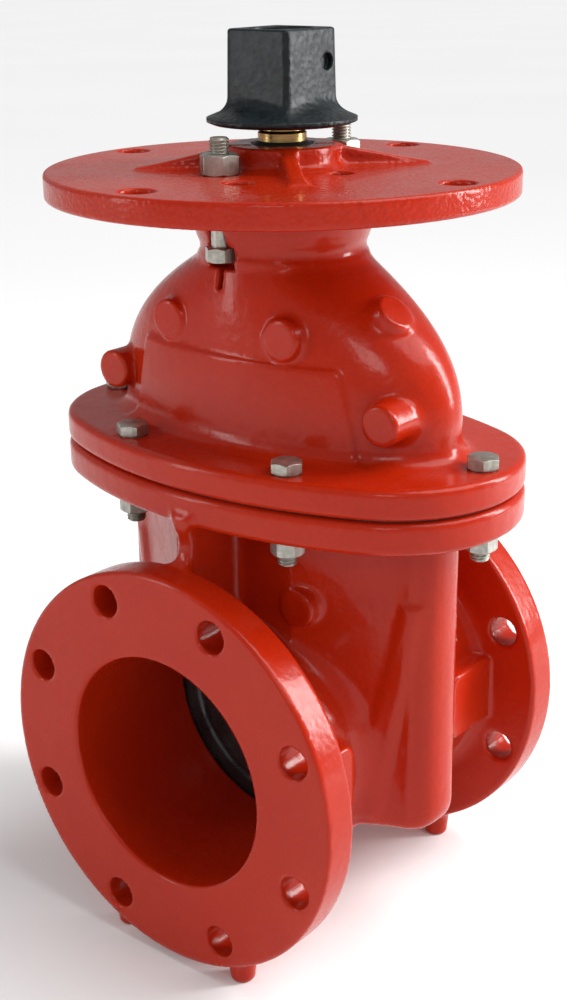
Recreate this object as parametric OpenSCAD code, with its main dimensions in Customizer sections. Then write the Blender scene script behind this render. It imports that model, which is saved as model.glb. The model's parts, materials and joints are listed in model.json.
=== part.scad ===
// Flanged gate valve with a resilient wedge, a stem that doesn't rise, a round plate for
// an indicator post and a square wrench nut. X runs along the pipe, Z up along the stem,
// and the origin is on the floor under the stem. Heights below are from the pipe's axis.

/* [Pipe ends] */
// Height of the pipe's axis above the feet
axis_height = 145; // [142:1:160]
// Length from end face to end face
face_to_face = 266.7; // [260:0.1:275]
// Outside diameter of an end flange
end_flange_d = 279.4; // [276:0.1:283]
// Thickness of an end flange
end_flange_t = 25.4; // [23:0.1:27]
// Bolt circle of an end flange
end_bolt_circle = 241.3; // [239:0.1:243]
// Diameter of a bolt hole in an end flange
end_hole_d = 22.2; // [18:0.1:23]
// Number of bolt holes in an end flange
end_holes = 8; // [8]
// Diameter of the waterway
waterway_d = 162; // [158:0.5:164]
// Outside diameter of a neck between an end flange and the case
neck_d = 188; // [184:1:192]

/* [Case] */
// Half of the case's length across the pipe
case_half_y = 138; // [137:0.5:141]
// Half of the case's thickness at its narrow ends
case_end_x = 20; // [19:0.5:22]
// Half of the case's thickness in the middle
case_mid_x = 58; // [56:0.5:62]
// Radius of the case's round bottom
case_r = 100; // [99:0.5:103]
// Thickness of the case's walls
wall = 10; // [9:0.5:11]

/* [Bonnet joint] */
// Underside of the case's top flange
joint_low = 167; // [165:0.5:168]
// Plane where the case meets the gasket
joint_z = 188.5; // [187:0.5:190]
// Thickness of the gasket
gasket_t = 1; // [0.8:0.1:1.5]
// Top of the bonnet's flange
joint_top = 209.5; // [208:0.5:211]
// Place of the four corner bolts along the pipe
corner_bolt_x = 80; // [78:0.5:82]
// Place of the four corner bolts across the pipe
corner_bolt_y = 66; // [64:0.5:68]
// Place of the two end bolts across the pipe
end_bolt_y = 157; // [156:0.5:158]
// Half of the joint's width along the pipe
joint_half_x = 105; // [104:0.5:107]

/* [Bonnet] */
// Half of the dome's thickness at its base
dome_x = 61; // [60:0.5:63]
// Half of the dome's length at its base
dome_y = 136; // [134:0.5:138]
// Height at which the dome starts to close
dome_start = 226; // [222:1:230]
// Height at which the dome meets its neck
dome_end = 328; // [327:1:329]
// Radius of the bonnet's neck
bonnet_neck_r = 52; // [50:0.5:54]
// Radius of the flange on top of the neck
neck_flange_r = 60; // [58:0.5:62]

/* [Post plate] */
// Diameter of the post plate
plate_d = 304.8; // [300:0.1:310]
// Top of the post plate
plate_top = 381.8; // [380:0.1:384]
// Thickness of the post plate
plate_t = 16.2; // [14:0.1:17]
// Bolt circle of the post plate
plate_bolt_circle = 266.7; // [264:0.1:270]
// Diameter of a bolt hole in the post plate
plate_hole_d = 22.2; // [18:0.1:24]
// Top of the stuffing box hub
hub_top = 396; // [395:0.5:398]
// Distance of the stuffing box bolts from the stem
box_bolt_r = 53; // [52:0.5:54]

/* [Stem] */
// Radius of the stem in the stuffing box
stem_r = 15.6; // [15:0.1:16]
// Radius over the crests of the stem's thread
thread_r = 12.7; // [12.5:0.1:12.9]
// Depth of the stem's thread
thread_depth = 1.8; // [1.5:0.1:2]
// Lead of the thread: three turns to the inch
thread_lead = 8.467; // [8.467]
// Turns from closed to open
turns = 20; // [20]
// Radius of the thrust collar
collar_r = 24; // [23:0.5:25]

/* [Wrench nut] */
// Width of the square at its top
nut_top_w = 49.2; // [48:0.1:50]
// Width of the square at its base
nut_base_w = 50.8; // [50:0.1:52]
// Height of the square
nut_h = 44.5; // [42:0.5:46]
// Height of the square's base
nut_z = 422; // [421:0.5:424]
// Radius of the round brim
brim_r = 48; // [46:0.5:50]

/* [Wedge] */
// Radius of the rubber-covered disc
wedge_r = 86; // [84:0.5:86]
// Half of the seat opening's width at the pipe's axis
seat_half_x = 23; // [22.5:0.5:24]
// Slope of each seat
seat_taper = 3.5; // [3:0.5:4]
// Gap between the closed wedge and each seat
seat_gap = 0.4; // [0.3:0.1:0.6]
// Thickness of the rubber
rubber_t = 3; // [2:0.5:4]

/* [Fasteners] */
// Diameter of the half-inch bolts
bolt_d = 12.7; // [12.7]
// Diameter of the holes they pass through
bolt_hole_d = 14.3; // [13.5:0.1:15]
// Width across flats of their heads and nuts
hex_w = 19; // [18:0.1:20]

/* [Hidden] */

$fn = 96;
eps = 1;                                    // overreach of a cut past the face it opens
through = 60;                               // length of a cut that runs out of the part
edge = 2;                                   // bevel on the rim of a flange
iron_red = [0.73, 0.24, 0.16];
zinc = [0.62, 0.63, 0.62];
bronze = [0.72, 0.58, 0.34];
black = [0.12, 0.13, 0.14];

lift = turns * thread_lead;                 // travel of the wedge
joint_end_r = 86.5;                         // radius of the joint's round ends
joint_end_y = 88;                           // and the place of their middles
joint_side_r = 300;                         // radius of its long sides
bonnet_wall = 11;
half_length = face_to_face / 2;
flange_back = half_length - end_flange_t;
plate_low = plate_top - plate_t;
bolt_sets = concat(
    [for (x = [-1, 1], y = [-1, 1]) [x * corner_bolt_x, y * corner_bolt_y]],
    [for (y = [-1, 1]) [0, y * end_bolt_y]]
);

// Case outline
case_corner_r = 20;                         // round lower corner of each narrow end
case_low = -54;                             // underside of the narrow ends
case_shoulder_y = 50;                       // where the walls start to close in
channel_half_x = 12;                        // half width of a guide channel
channel_y = 127;                            // outer wall of a guide channel
channel_low = -28;                          // floor of a guide channel
sump = [106, -48, 10];                      // sump under a channel: place across, floor, radius
mouth_start = 96;                           // where the cavity widens above the seats
mouth_full = 126;                           // where it has its full width
mouth_half_x = 38;                          // half width of the cavity under the bonnet

// Wedge
disc_pocket_r = wedge_r + 1.5;
housing = [44, 76, 117.7];                  // stem nut housing: width, length, top
nut_slot = [88, 114];                       // floor and roof of the slot for the stem nut
stem_way_r = 13.6;                          // way for the stem through the wedge
lug = [18, 116, -22, 62];                   // guide lug: width, reach, foot, top
cap_t = 1.6;                                // thickness of a guide cap

// Stem, from the bottom up
stem_tip = 84;
thread_top = stem_tip + lift + 32;
shank_r = 12;
washer_t = 2.5;
washer_hole_r = 16;
thrust_floor = 331.5;                       // floor of the bonnet's thrust chamber
play = 0.2;                                 // end play on each side of the collar
collar_low = thrust_floor + washer_t + play;
collar_h = 8;
upper_washer_z = collar_low + collar_h + play;
spigot_low = upper_washer_z + washer_t;
shoulder_z = 404.5;                         // where the stem steps down under the nut
stem_top = 448;
square_w = 19;                              // square on the stem that drives the nut
screw_r = 4.9;                              // hold-down screw in the stem's top
screw_depth = 20;
chamber_r = 30;                             // thrust chamber and stuffing box spigot
running = 0.05;                             // radial clearance of a running fit

// Extrude a (Y, Z) outline along X, or an (X, Z) outline along Y, about the middle
module along_x(length) rotate([90, 0, 90]) linear_extrude(length, center = true) children();
module along_y(length) rotate([90, 0, 0]) linear_extrude(length, center = true) children();

// Put a part whose heights start at the pipe's axis into the valve's frame
module from_axis() translate([0, 0, axis_height]) children();

module ring(r_out, r_in, z, h) {
    translate([0, 0, z]) difference() {
        cylinder(r = r_out, h = h);
        translate([0, 0, -eps]) cylinder(r = r_in, h = h + 2 * eps);
    }
}

module hexagon(width, h) cylinder(d = width / cos(30), h = h, $fn = 6);

// ---- Case -----------------------------------------------------------------------------

// Oval outline of the joint flanges: two long arcs at the sides and two round ends
module joint_outline(inset = 0) {
    side_x = joint_side_r - joint_half_x;
    meet_y = joint_side_r * joint_end_y / norm([side_x, joint_end_y]);
    for (s = [-1, 1]) translate([0, s * joint_end_y]) circle(r = joint_end_r - inset);
    intersection() {
        translate([side_x, 0]) circle(r = joint_side_r - inset);
        translate([-side_x, 0]) circle(r = joint_side_r - inset);
        square([2 * joint_half_x, 2 * meet_y], center = true);
    }
}

module case_front() {
    corner_y = case_half_y - case_corner_r;
    corner_z = case_low + case_corner_r;
    circle(r = case_r);
    for (s = [-1, 1]) translate([s * corner_y, corner_z]) circle(r = case_corner_r);
    polygon([
        [-case_half_y, joint_low + eps], [-case_half_y, corner_z], [-corner_y, case_low],
        [corner_y, case_low], [case_half_y, corner_z], [case_half_y, joint_low + eps]
    ]);
}

// Plan of the case: thick in the middle and narrow at both ends
module case_plan(mid_x, end_x, half_y) {
    knee_y = half_y - end_x;
    for (s = [-1, 1]) translate([0, s * knee_y]) circle(r = end_x);
    polygon([
        [mid_x, -case_shoulder_y], [mid_x, case_shoulder_y], [end_x, knee_y],
        [-end_x, knee_y], [-mid_x, case_shoulder_y], [-mid_x, -case_shoulder_y],
        [-end_x, -knee_y], [end_x, -knee_y]
    ]);
}

module case_outside() {
    intersection() {
        along_x(4 * case_mid_x) case_front();
        translate([0, 0, -case_r - eps])
            linear_extrude(joint_low + case_r + 2 * eps)
                case_plan(case_mid_x, case_end_x, case_half_y);
    }
}

// Half profile of both necks and end flanges, revolved about the pipe's axis. Each neck
// flares in two steps to the back of its flange.
module pipe_outside() {
    neck_r = neck_d / 2;
    root_r = neck_r + 14;
    flare_r = neck_r + 4;
    flare_x = flange_back - 14;
    flare_start = flange_back - 34;
    rim = end_flange_d / 2;
    rotate([0, 90, 0]) rotate_extrude() polygon([
        [0, -half_length], [rim - edge, -half_length], [rim, edge - half_length],
        [rim, -flange_back - edge], [rim - edge, -flange_back], [root_r, -flange_back],
        [flare_r, -flare_x], [neck_r, -flare_start], [neck_r, flare_start], [flare_r, flare_x],
        [root_r, flange_back], [rim - edge, flange_back], [rim, flange_back + edge],
        [rim, half_length - edge], [rim - edge, half_length], [0, half_length]
    ]);
}

// Half width of the gap between the seats at a height
function seat_x(z) = seat_half_x + z * tan(seat_taper);

// Section along the pipe between the two seats, which lean apart
module seat_section(gap = 0, low = -disc_pocket_r - eps, top = mouth_start) {
    polygon([
        [-seat_x(low) + gap, low], [seat_x(low) - gap, low],
        [seat_x(top) - gap, top], [-seat_x(top) + gap, top]
    ]);
}

// The space the wedge closes in, the mouth above it and the two guide channels
module gate_cavity() {
    roof = joint_z + eps;
    intersection() {
        along_x(4 * case_mid_x) union() {
            circle(r = disc_pocket_r);
            translate([-channel_y, 0]) square([2 * channel_y, roof]);
        }
        along_y(4 * case_half_y) union() {
            seat_section();
            polygon([
                [-seat_x(mouth_start), mouth_start], [seat_x(mouth_start), mouth_start],
                [mouth_half_x, mouth_full], [mouth_half_x, roof],
                [-mouth_half_x, roof], [-mouth_half_x, mouth_full]
            ]);
        }
        translate([0, 0, -case_r])
            linear_extrude(roof + case_r)
                case_plan(case_mid_x - wall, channel_half_x, channel_y);
    }
    translate([0, 0, channel_low])
        linear_extrude(roof - channel_low)
            case_plan(channel_half_x, channel_half_x, channel_y);
    for (s = [-1, 1]) translate([0, s * sump[0], sump[1]])
        cylinder(r = sump[2], h = channel_low - sump[1] + eps, $fn = 48);
}

module end_bolt_holes() {
    for (side = [-1, 1], k = [0 : end_holes - 1])
        rotate([180 / end_holes + k * 360 / end_holes, 0, 0])
            translate([side * (half_length - end_flange_t / 2), end_bolt_circle / 2, 0])
                rotate([0, 90, 0])
                    cylinder(d = end_hole_d, h = end_flange_t + 2 * eps, center = true);
}

// Upright web that ties the joint flange to each end flange, with a round bite outside
module gussets() {
    web_t = 11;
    bite_r = 15;
    bite_out = 12;                           // from the flange's back to the bite's middle
    start = [case_mid_x - wall, neck_d / 2 - 4];
    for (side = [0, 180]) rotate([0, 0, side]) along_y(web_t) difference() {
        translate(start) square([flange_back - start[0] + eps, joint_low - start[1] + eps]);
        translate([flange_back + bite_out, (joint_low + end_flange_d / 2) / 2]) circle(r = bite_r);
    }
}

module case_bosses() {
    boss_r = 13.5;
    boss_y = 58;
    boss_z = 110;
    boss_out = 2;                            // height of the boss above the wall
    pad = [48, 18, 50];                      // flat-sided pad on the side of each neck
    for (side = [0, 180]) rotate([0, 0, side]) {
        translate([0, -boss_y, boss_z]) rotate([0, -90, 0])
            cylinder(r = boss_r, h = case_mid_x + boss_out, $fn = 48);
        for (s = [-1, 1]) translate([-flange_back - eps, s * neck_d / 2 - pad[1] / 2, -pad[2] / 2])
            cube(pad);
    }
}

// Raised legs from the top of each narrow end down to the necks
module case_legs() {
    proud = 4;
    top = [119, 125, 110];                   // inner edge, outer edge and height of the top
    foot = [84, 98, -45];
    intersection() {
        along_x(4 * case_mid_x) for (s = [-1, 1]) polygon([
            [s * top[0], top[2]], [s * top[1], top[2]], [s * foot[1], foot[2]], [s * foot[0], foot[2]]
        ]);
        translate([0, 0, foot[2] - eps]) linear_extrude(top[2] - foot[2] + 2 * eps)
            case_plan(case_mid_x + proud, case_end_x + proud - 1, case_half_y);
    }
}

module feet() {
    foot_r = 8.5;
    foot_x = flange_back + foot_r + 0.5;
    foot_y = 53;
    rise = 24;
    for (x = [-1, 1], y = [-1, 1])
        translate([x * foot_x, y * foot_y, -axis_height])
            cylinder(r = foot_r, h = rise, $fn = 48);
}

module body() {
    color(iron_red) from_axis() difference() {
        union() {
            case_outside();
            pipe_outside();
            gussets();
            case_bosses();
            case_legs();
            feet();
            translate([0, 0, joint_low]) linear_extrude(joint_z - joint_low) joint_outline();
        }
        rotate([0, 90, 0]) cylinder(d = waterway_d, h = face_to_face + 2 * eps, center = true);
        gate_cavity();
        end_bolt_holes();
        for (p = bolt_sets) translate([p[0], p[1], joint_low - eps])
            cylinder(d = bolt_hole_d, h = joint_z - joint_low + 2 * eps, $fn = 48);
    }
}

// ---- Bonnet ---------------------------------------------------------------------------

// Half width and half length of the dome at a height, less an inset. Its plan is an
// ellipse that becomes a circle at the neck.
function closing(z) = z < dome_start ? 1 : 1 - pow((z - dome_start) / (dome_end - dome_start), 2.4);
function dome_half(z, base, inset) = bonnet_neck_r + (base - bonnet_neck_r) * closing(z) - inset;
function dome_ring(z, inset, n) = [
    for (i = [0 : n - 1])
        let (a = i * 360 / n)
            [dome_half(z, dome_x, inset) * cos(a), dome_half(z, dome_y, inset) * sin(a), z]
];

// A closed solid through oval rings at the given heights
module dome_loft(heights, inset) {
    n = 48;
    rings = len(heights);
    points = [for (z = heights) each dome_ring(z, inset, n)];
    sides = [
        for (k = [0 : rings - 2], i = [0 : n - 1])
            let (a = k * n + i, b = k * n + (i + 1) % n)
                each [[a, b + n, b], [a, a + n, b + n]]
    ];
    floor_face = [[for (i = [0 : n - 1]) i]];
    roof_face = [[for (i = [n - 1 : -1 : 0]) (rings - 1) * n + i]];
    polyhedron(points, concat(sides, floor_face, roof_face));
}

module dome_bosses() {
    boss_r = 13.4;
    upper_x = 59;                            // faces of the upper bosses along the pipe
    upper_y = [-44, 53];
    upper_z = 285;
    lower = [50, 113, 240];                  // the lower ones are on the inlet side only
    shoulder = [-12, -95, 299];              // where the end bosses leave the dome
    root = 20;                               // how deep an end boss starts in the dome
    rise = 5;
    for (side = [0, 180], y = upper_y) rotate([0, 0, side]) translate([0, y, upper_z])
        rotate([0, -90, 0]) cylinder(r = boss_r, h = upper_x, $fn = 48);
    for (s = [-1, 1]) translate([0, s * lower[1], lower[2]])
        rotate([0, -90, 0]) cylinder(r = boss_r, h = lower[0], $fn = 48);
    for (side = [0, 180]) rotate([0, 0, side]) translate(shoulder)
        rotate([45, 0, 0]) translate([0, 0, -root])
            cylinder(r = boss_r, h = root + rise, $fn = 48);
}

// Raised panel on each broad side of the dome, of even thickness
module dome_panels(heights) {
    proud = 2;
    low_y = 93;                              // half length at the foot
    high_y = 83;                             // and at the top
    top = 269;
    corner = 6;
    intersection() {
        dome_loft(heights, -proud);
        along_x(4 * dome_x) polygon([
            [-low_y, joint_top - eps], [low_y, joint_top - eps],
            [high_y, top - corner], [high_y - corner, top],
            [corner - high_y, top], [-high_y, top - corner]
        ]);
    }
}

slot_roof_t = 28.5;                         // metal between each bolt head and the plate
box_turn = -8;                              // the stuffing box bolts stand a little off the pipe's line

// Slots that take the stuffing box bolts from the side, with room under them for the heads
module box_bolt_slots() {
    slot_w = bolt_hole_d + 1;
    slot_r = slot_w / 2;
    head_room = 14;                          // height of the pocket for a head
    head_w = hex_w + 3.5;
    pocket_x = box_bolt_r - head_w / 2;
    out = neck_flange_r - pocket_x + eps;
    for (side = [0, 180]) rotate([0, 0, side + box_turn]) {
        translate([box_bolt_r, 0, plate_low - slot_roof_t - eps]) {
            cylinder(r = slot_r, h = slot_roof_t + 2 * eps, $fn = 48);
            translate([0, -slot_r, 0]) cube([out, slot_w, slot_roof_t + 2 * eps]);
        }
        translate([pocket_x, -head_w / 2, plate_low - slot_roof_t - head_room])
            cube([out, head_w, head_room]);
    }
}

module bonnet() {
    low = joint_z + gasket_t;
    outer_steps = 8;
    inner_steps = 5;
    root = 4;                                // how deep the dome starts in its flange
    outer_rise = (dome_end - dome_start - 2) / outer_steps;
    inner_rise = 15;
    roof = dome_start + inner_steps * inner_rise;        // flat roof of the cavity
    waist_r = 48;
    outer_z = concat([joint_top - root], [for (k = [0 : outer_steps]) dome_start + k * outer_rise]);
    inner_z = concat([low - eps], [for (k = [0 : inner_steps]) dome_start + k * inner_rise]);
    color(iron_red) from_axis() difference() {
        union() {
            translate([0, 0, low]) linear_extrude(joint_top - low) joint_outline();
            dome_loft(outer_z, 0);
            dome_panels(outer_z);
            dome_bosses();
            rotate_extrude() polygon([
                [0, roof], [waist_r, roof], [waist_r, dome_end], [waist_r + 4, dome_end + 3],
                [neck_flange_r - 3, dome_end + 10], [neck_flange_r, dome_end + 20],
                [neck_flange_r, plate_low], [0, plate_low]
            ]);
        }
        dome_loft(inner_z, bonnet_wall);
        for (p = bolt_sets) translate([p[0], p[1], low - eps])
            cylinder(d = bolt_hole_d, h = joint_top - low + 2 * eps, $fn = 48);
        translate([0, 0, roof - eps]) cylinder(r = washer_hole_r, h = through);
        translate([0, 0, thrust_floor]) cylinder(r = chamber_r, h = through);
        box_bolt_slots();
    }
}

module bonnet_gasket() {
    inset = 5;                               // leaves a groove round the joint
    hole_end_r = 50;
    color(black) from_axis() translate([0, 0, joint_z]) linear_extrude(gasket_t) difference() {
        joint_outline(inset);
        case_plan(dome_x - bonnet_wall, hole_end_r, dome_y - bonnet_wall);
        for (p = bolt_sets) translate(p) circle(d = bolt_hole_d, $fn = 48);
    }
}

// ---- Fasteners ------------------------------------------------------------------------

// A bolt: the height of its head, then the lowest and highest points of its shank
module hex_bolt(head_z, head_h, low, high) {
    translate([0, 0, head_z]) hexagon(hex_w, head_h);
    translate([0, 0, low]) cylinder(d = bolt_d, h = high - low, $fn = 48);
}

module hex_nut(width, h) {
    difference() {
        hexagon(width, h);
        translate([0, 0, -eps]) cylinder(d = bolt_d + 0.1, h = h + 2 * eps, $fn = 48);
    }
}

nut_height = 11;

module bonnet_bolts() {
    head_h = 8;
    past_nut = 7;                            // thread showing under the nut
    end_z = joint_low - nut_height - past_nut;
    color(zinc) from_axis() for (p = bolt_sets) translate(p)
        hex_bolt(joint_top, head_h, end_z, joint_top + eps);
}

module bonnet_nuts() {
    color(zinc) from_axis() for (p = bolt_sets) translate([p[0], p[1], joint_low - nut_height])
        hex_nut(hex_w, nut_height);
}

box_nut_h = 13;
box_nut_w = 22.2;                           // heavy nuts, wider than the bolt heads
seat_r = 13.5;                              // round machined seat under each of them
seat_depth = 0.5;

module stuffing_box_bolts() {
    head_h = 9.5;
    past_nut = 9.5;                          // thread showing above the nut
    head_z = plate_low - slot_roof_t - head_h;
    top = plate_top + box_nut_h + past_nut;
    color(zinc) from_axis() for (side = [0, 180]) rotate([0, 0, side + box_turn])
        translate([box_bolt_r, 0, 0]) rotate([0, 0, 30]) hex_bolt(head_z, head_h, head_z, top);
}

module stuffing_box_nuts() {
    color(zinc) from_axis() for (side = [0, 180]) rotate([0, 0, side + box_turn])
        translate([box_bolt_r, 0, plate_top - seat_depth]) rotate([0, 0, 30])
            hex_nut(box_nut_w, box_nut_h);
}

// ---- Stuffing box ---------------------------------------------------------------------

o_ring_d = 3.5;
o_ring_z = [370, 380];
dirt_seal_r = 20;
dirt_seal_z = hub_top - 4.5;
seal_z = spigot_low + 8;                    // middle of the seal round the spigot

hub_r = [34, 36, 37, 39];                   // radii of the hub from its top to its root

module plate_ribs() {
    rib_t = 9;
    reach = 93;
    rib_low = plate_top + 1;                 // top of a rib at its outer end
    rib_top = hub_top - 3;                   // and where it meets the hub
    for (k = [0 : 3]) rotate([0, 0, 45 + 90 * k]) along_y(rib_t) polygon([
        [chamber_r, plate_top - eps], [reach, plate_top - eps], [reach, rib_low],
        [hub_r[2], rib_top], [chamber_r, rib_top]
    ]);
}

module plate_holes() {
    spare_r = 8;                             // two spare bolt holes across the pipe
    spare_y = 52;
    vent_r = 10;                             // two holes between the ribs
    vent_at = 79;
    vent_turn = 20;
    low = plate_low - eps;
    h = plate_t + 2 * eps;
    for (k = [0 : 3]) rotate([0, 0, 90 * k]) translate([plate_bolt_circle / 2, 0, low])
        cylinder(d = plate_hole_d, h = h);
    for (side = [0, 180]) rotate([0, 0, side + box_turn]) {
        translate([box_bolt_r, 0, low]) cylinder(d = bolt_hole_d, h = h, $fn = 48);
        translate([box_bolt_r, 0, plate_top - seat_depth]) cylinder(r = seat_r, h = box_nut_h);
        translate([0, spare_y, low]) cylinder(r = spare_r, h = h, $fn = 48);
        rotate([0, 0, vent_turn - box_turn]) translate([vent_at, 0, low])
            cylinder(r = vent_r, h = h, $fn = 48);
    }
}

module post_plate() {
    rim = plate_d / 2;
    slope_top = plate_top + 4;
    spigot_r = chamber_r - 0.1;
    color(iron_red) from_axis() difference() {
        union() {
            rotate_extrude() polygon([
                [0, plate_low], [rim - edge, plate_low], [rim, plate_low + edge],
                [rim, plate_top - edge], [rim - edge, plate_top], [hub_r[3], plate_top],
                [hub_r[2], slope_top], [hub_r[1], hub_top - edge], [hub_r[0], hub_top], [0, hub_top]
            ]);
            translate([0, 0, spigot_low]) cylinder(r = spigot_r, h = plate_low - spigot_low + eps);
            plate_ribs();
        }
        translate([0, 0, spigot_low - eps]) cylinder(r = stem_r + running, h = through);
        ring(chamber_r + 1, chamber_r - o_ring_d, seal_z - o_ring_d / 2, o_ring_d);
        for (z = o_ring_z) translate([0, 0, z])
            cylinder(r = stem_r + o_ring_d + 2 * running, h = o_ring_d);
        translate([0, 0, dirt_seal_z]) cylinder(r = dirt_seal_r, h = through);
        plate_holes();
    }
}

// A rubber ring of round section round the stem's axis
module o_ring(inner_r, z) {
    r = o_ring_d / 2;
    translate([0, 0, z]) rotate_extrude() translate([inner_r + r, 0]) circle(r = r, $fn = 32);
}

module stuffing_box_seal() color(black) from_axis() o_ring(chamber_r - o_ring_d, seal_z);

module stem_o_rings() color(black) from_axis()
    for (z = o_ring_z) o_ring(stem_r + running, z + o_ring_d / 2);

// The dirt seal stands a lip up round the stem
module dirt_seal_ring() {
    lip = [3, 2];                            // width and height of the lip
    in = stem_r + running;
    color(black) from_axis() rotate_extrude() polygon([
        [in, dirt_seal_z], [dirt_seal_r, dirt_seal_z], [dirt_seal_r, hub_top],
        [in + lip[0], hub_top], [in, hub_top + lip[1]]
    ]);
}

module thrust_washer(z) color(bronze) from_axis() ring(chamber_r - 2, washer_hole_r, z, washer_t);

// ---- Stem and wrench nut --------------------------------------------------------------

// Rings of a trapezoidal thread, one to each lead: root, two ends of the crest, root
thread_root_r = thread_r - thread_depth;
thread_points = [
    for (z = [stem_tip + 4 : thread_lead : thread_top - thread_lead])
        each [
            [thread_root_r, z], [thread_r, z + 0.15 * thread_lead],
            [thread_r, z + 0.5 * thread_lead], [thread_root_r, z + 0.65 * thread_lead]
        ]
];

module stem() {
    step = 1.5;                              // bevels at the tip and the shoulder
    below = 4;                               // full stem under the collar
    round_h = 7;                             // round part above the shoulder
    color(bronze) from_axis() difference() {
        union() {
            rotate_extrude() polygon(concat(
                [[0, stem_tip], [thread_root_r - step, stem_tip]],
                thread_points,
                [
                    [shank_r, thread_top], [shank_r, collar_low - below],
                    [stem_r, collar_low - below + 1],
                    [stem_r, collar_low], [collar_r, collar_low], [collar_r, collar_low + collar_h],
                    [stem_r, collar_low + collar_h], [stem_r, shoulder_z - step],
                    [stem_r - step, shoulder_z], [square_w / 2, shoulder_z], [0, shoulder_z]
                ]
            ));
            translate([0, 0, shoulder_z - eps])
                cylinder(r = square_w / sqrt(2), h = round_h, $fn = 48);
            translate([-square_w / 2, -square_w / 2, shoulder_z])
                cube([square_w, square_w, stem_top - shoulder_z]);
        }
        translate([0, 0, stem_top - screw_depth]) cylinder(r = screw_r + 0.1, h = through, $fn = 48);
    }
}

module wrench_nut() {
    top = nut_z + nut_h;
    recess_r = 20.5;                         // recess for the hold-down screw
    bottom = 410;                            // underside, dished below this at the brim
    rim_h = 3;
    slope_r = 34;                            // where the brim meets the square
    collar_top = [24, nut_z + 2];
    set_at = [15, 446];                      // set screw hole: place along the pipe, height
    set_r = 5;
    set_depth = 3;
    outline = [
        [-nut_base_w / 2, nut_z], [nut_base_w / 2, nut_z],
        [nut_top_w / 2, top], [-nut_top_w / 2, top]
    ];
    clearance = 0.1;
    hole_w = square_w + 2 * clearance;
    round_hole_r = square_w / sqrt(2) + 2 * clearance;
    color(black) from_axis() difference() {
        union() {
            intersection() {
                along_x(2 * nut_base_w) polygon(outline);
                along_y(2 * nut_base_w) polygon(outline);
            }
            rotate_extrude() polygon([
                [0, bottom], [brim_r - 2 * edge, bottom - eps], [brim_r, bottom],
                [brim_r, bottom + rim_h], [brim_r - 2 * edge, bottom + rim_h + edge],
                [slope_r, nut_z - eps], collar_top, [0, collar_top[1]]
            ]);
        }
        translate([0, 0, stem_top]) cylinder(r = recess_r, h = through, $fn = 64);
        translate([-hole_w / 2, -hole_w / 2, bottom - edge]) cube([hole_w, hole_w, through]);
        translate([0, 0, bottom - edge]) cylinder(r = round_hole_r, h = edge + 1.5, $fn = 48);
        translate([set_at[0], set_depth - nut_base_w / 2, set_at[1]])
            rotate([90, 0, 0]) cylinder(r = set_r, h = through, $fn = 48);
    }
}

screw_washer_t = 3;                         // washer under the hold-down screw

module hold_down_screw() {
    head_w = 16;
    head_h = 7;
    shank = screw_depth - 2;                 // stops short of the bottom of its hole
    color(zinc) from_axis() {
        translate([0, 0, stem_top + screw_washer_t]) hexagon(head_w, head_h);
        translate([0, 0, stem_top - shank])
            cylinder(r = screw_r, h = shank + screw_washer_t + eps, $fn = 48);
    }
}

module hold_down_washer() color(zinc) from_axis() ring(15, screw_r + 0.3, stem_top, screw_washer_t);

// ---- Wedge ----------------------------------------------------------------------------

module wedge_disc(r, gap) {
    intersection() {
        along_x(2 * case_mid_x) circle(r = r);
        along_y(4 * r) seat_section(gap, -r, r);
    }
}

module guide_lug(side, grow = 0) {
    lug_h = lug[3] - lug[2];
    inner_y = 60;
    translate([-lug[0] / 2 - grow, side > 0 ? inner_y : -lug[1] - grow, lug[2]])
        cube([lug[0] + 2 * grow, lug[1] - inner_y + grow, lug_h]);
}

module stem_way() translate([0, 0, -wedge_r - eps])
    cylinder(r = stem_way_r, h = wedge_r + housing[2] + 2 * eps);

module wedge_core_solid() {
    foot = 40;                               // where the housing starts inside the disc
    wedge_disc(wedge_r - rubber_t, seat_gap + rubber_t);
    for (side = [-1, 1]) guide_lug(side);
    translate([-housing[0] / 2, -housing[1] / 2, foot])
        cube([housing[0], housing[1], housing[2] - foot]);
}

module wedge_core() {
    slot_half = 23;
    color([0.3, 0.3, 0.3]) from_axis() difference() {
        wedge_core_solid();
        stem_way();
        translate([-housing[0], -slot_half, nut_slot[0]])
            cube([2 * housing[0], 2 * slot_half, nut_slot[1] - nut_slot[0]]);
    }
}

module wedge_rubber() {
    color(black) from_axis() difference() {
        wedge_disc(wedge_r, seat_gap);
        wedge_core_solid();
        stem_way();
    }
}

module stem_nut() {
    clearance = 0.2;                         // above and below the nut in its slot
    size = [40, 45, nut_slot[1] - nut_slot[0] - 2 * clearance];
    color(bronze) from_axis() difference() {
        translate([-size[0] / 2, -size[1] / 2, nut_slot[0] + clearance]) cube(size);
        translate([0, 0, nut_slot[0]]) cylinder(r = thread_r + running, h = through);
    }
}

// Slippery cap over the outer end of a guide lug
module guide_cap(side) {
    start_y = 92;
    color([0.85, 0.85, 0.8]) from_axis() difference() {
        guide_lug(side, cap_t);
        guide_lug(side);
        translate([0, side * start_y / 2, 0]) cube([2 * wedge_r, start_y, 4 * wedge_r], center = true);
    }
}

body();
bonnet();
bonnet_gasket();
bonnet_bolts();
bonnet_nuts();
post_plate();
stuffing_box_bolts();
stuffing_box_nuts();
stuffing_box_seal();
stem_o_rings();
dirt_seal_ring();  // dirt_seal
thrust_washer(thrust_floor);  // thrust_washer_lower
thrust_washer(upper_washer_z);  // thrust_washer_upper
stem();
wrench_nut();
hold_down_screw();
hold_down_washer();
wedge_core();
wedge_rubber();
stem_nut();
guide_cap(-1);  // guide_cap_left
guide_cap(1);  // guide_cap_right
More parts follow.
